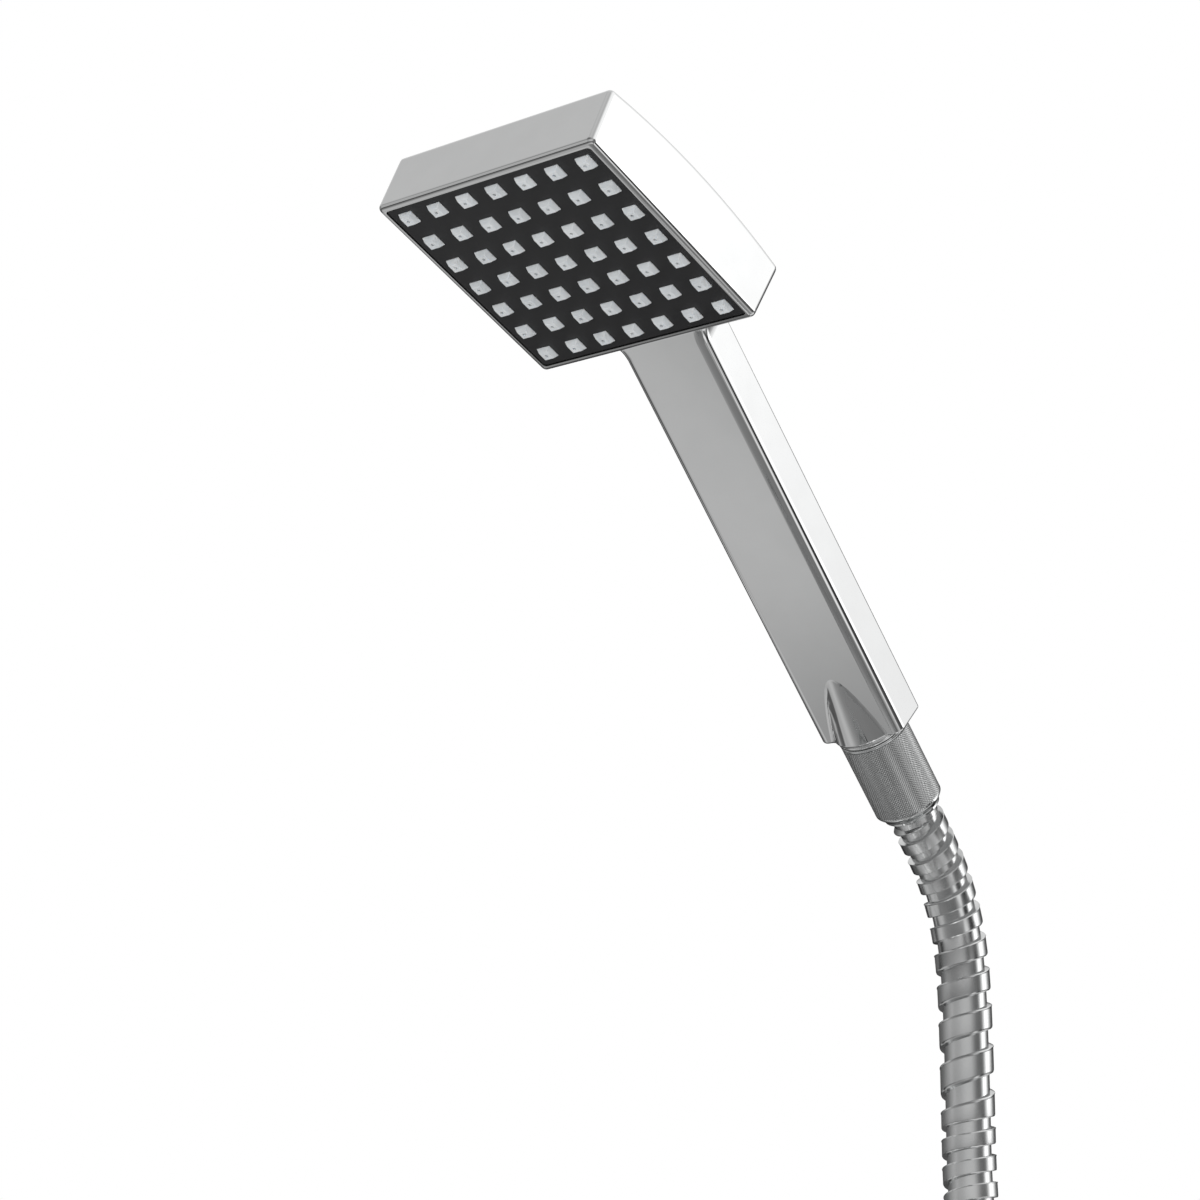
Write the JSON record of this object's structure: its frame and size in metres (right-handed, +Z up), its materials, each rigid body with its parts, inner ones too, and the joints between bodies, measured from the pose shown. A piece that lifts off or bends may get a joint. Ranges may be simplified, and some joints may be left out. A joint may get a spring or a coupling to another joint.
{
  "type": "handheld shower head",
  "caption": "Square flat-faced hand shower with a grid of soft square nozzles, slim bent handle, swivel cone nut, check valve and a coiled ribbed metal hose.",
  "frame": {"origin": "centre of the handle's end face, on the axis of the hose nut, where the nut's seat in a wall bracket begins", "axes": "+X across the spray face, +Y from the head towards the hose, +Z up; the handle slopes up from the origin to the head"},
  "size_m": [0.262, 0.3039, 0.3962],
  "materials": {
    "chrome": "polished chrome plating on moulded plastic",
    "black_plate": "satin black",
    "silicone": "soft translucent grey silicone",
    "rubber": "matt black seal rubber",
    "white_plastic": "natural moulded plastic",
    "grey_plastic": "grey moulded plastic",
    "steel": "stainless steel",
    "chrome_brass": "polished chrome plating on brass",
    "brass": "bare turned brass",
    "hose_steel": "polished helical steel hose",
    "strap": "black rubber strap"
  },
  "bodies": {
    "handset": {"body_shell": "chrome", "face_plate": "black_plate", "nozzle_pad": "silicone", "face_gasket": "rubber", "spray_manifold": "white_plastic", "manifold_screws": "steel", "water_tube": "white_plastic", "tube_upper_o_ring": "rubber", "tube_lower_o_ring": "rubber", "handle_end_plug": "grey_plastic", "inlet_connector": "chrome_brass", "valve_housing": "grey_plastic", "valve_o_ring": "rubber", "valve_spring": "steel", "flow_limiter": "grey_plastic", "hose_washer": "rubber", "filter_screen": "steel", "hose_ferrule": "brass", "crimp_sleeve": "chrome_brass", "hose_drop": "hose_steel", "hose_coil": "hose_steel", "hose_tail": "hose_steel", "coil_tie": "strap", "wall_sleeve": "chrome_brass", "wall_ferrule": "brass", "wall_washer": "rubber"},
    "hose_nut": {"hose_nut": "chrome_brass"},
    "wall_nut": {"wall_nut": "chrome_brass"},
    "check_valve": {"valve_poppet": "grey_plastic", "poppet_seal": "rubber"}
  },
  "joints": [
    {"name": "hose_nut_turn", "type": "hinge", "parent": "handset", "child": "hose_nut", "pos_m": [0, 0, 0], "axis": [0, 0.6937, -0.7203], "continuous": true},
    {"name": "wall_nut_turn", "type": "hinge", "parent": "handset", "child": "wall_nut", "pos_m": [0.02926, -0.04142, -0.22807], "axis": [0.9996, 0.0241, 0.015], "continuous": true},
    {"name": "check_valve_lift", "type": "slide", "parent": "handset", "child": "check_valve", "axis": [0, -0.6937, 0.7203], "range_m": [0, 0.002], "stiffness_N_per_m": 60, "springref_m": -0.001, "deforming": ["valve_spring"]}
  ]
}
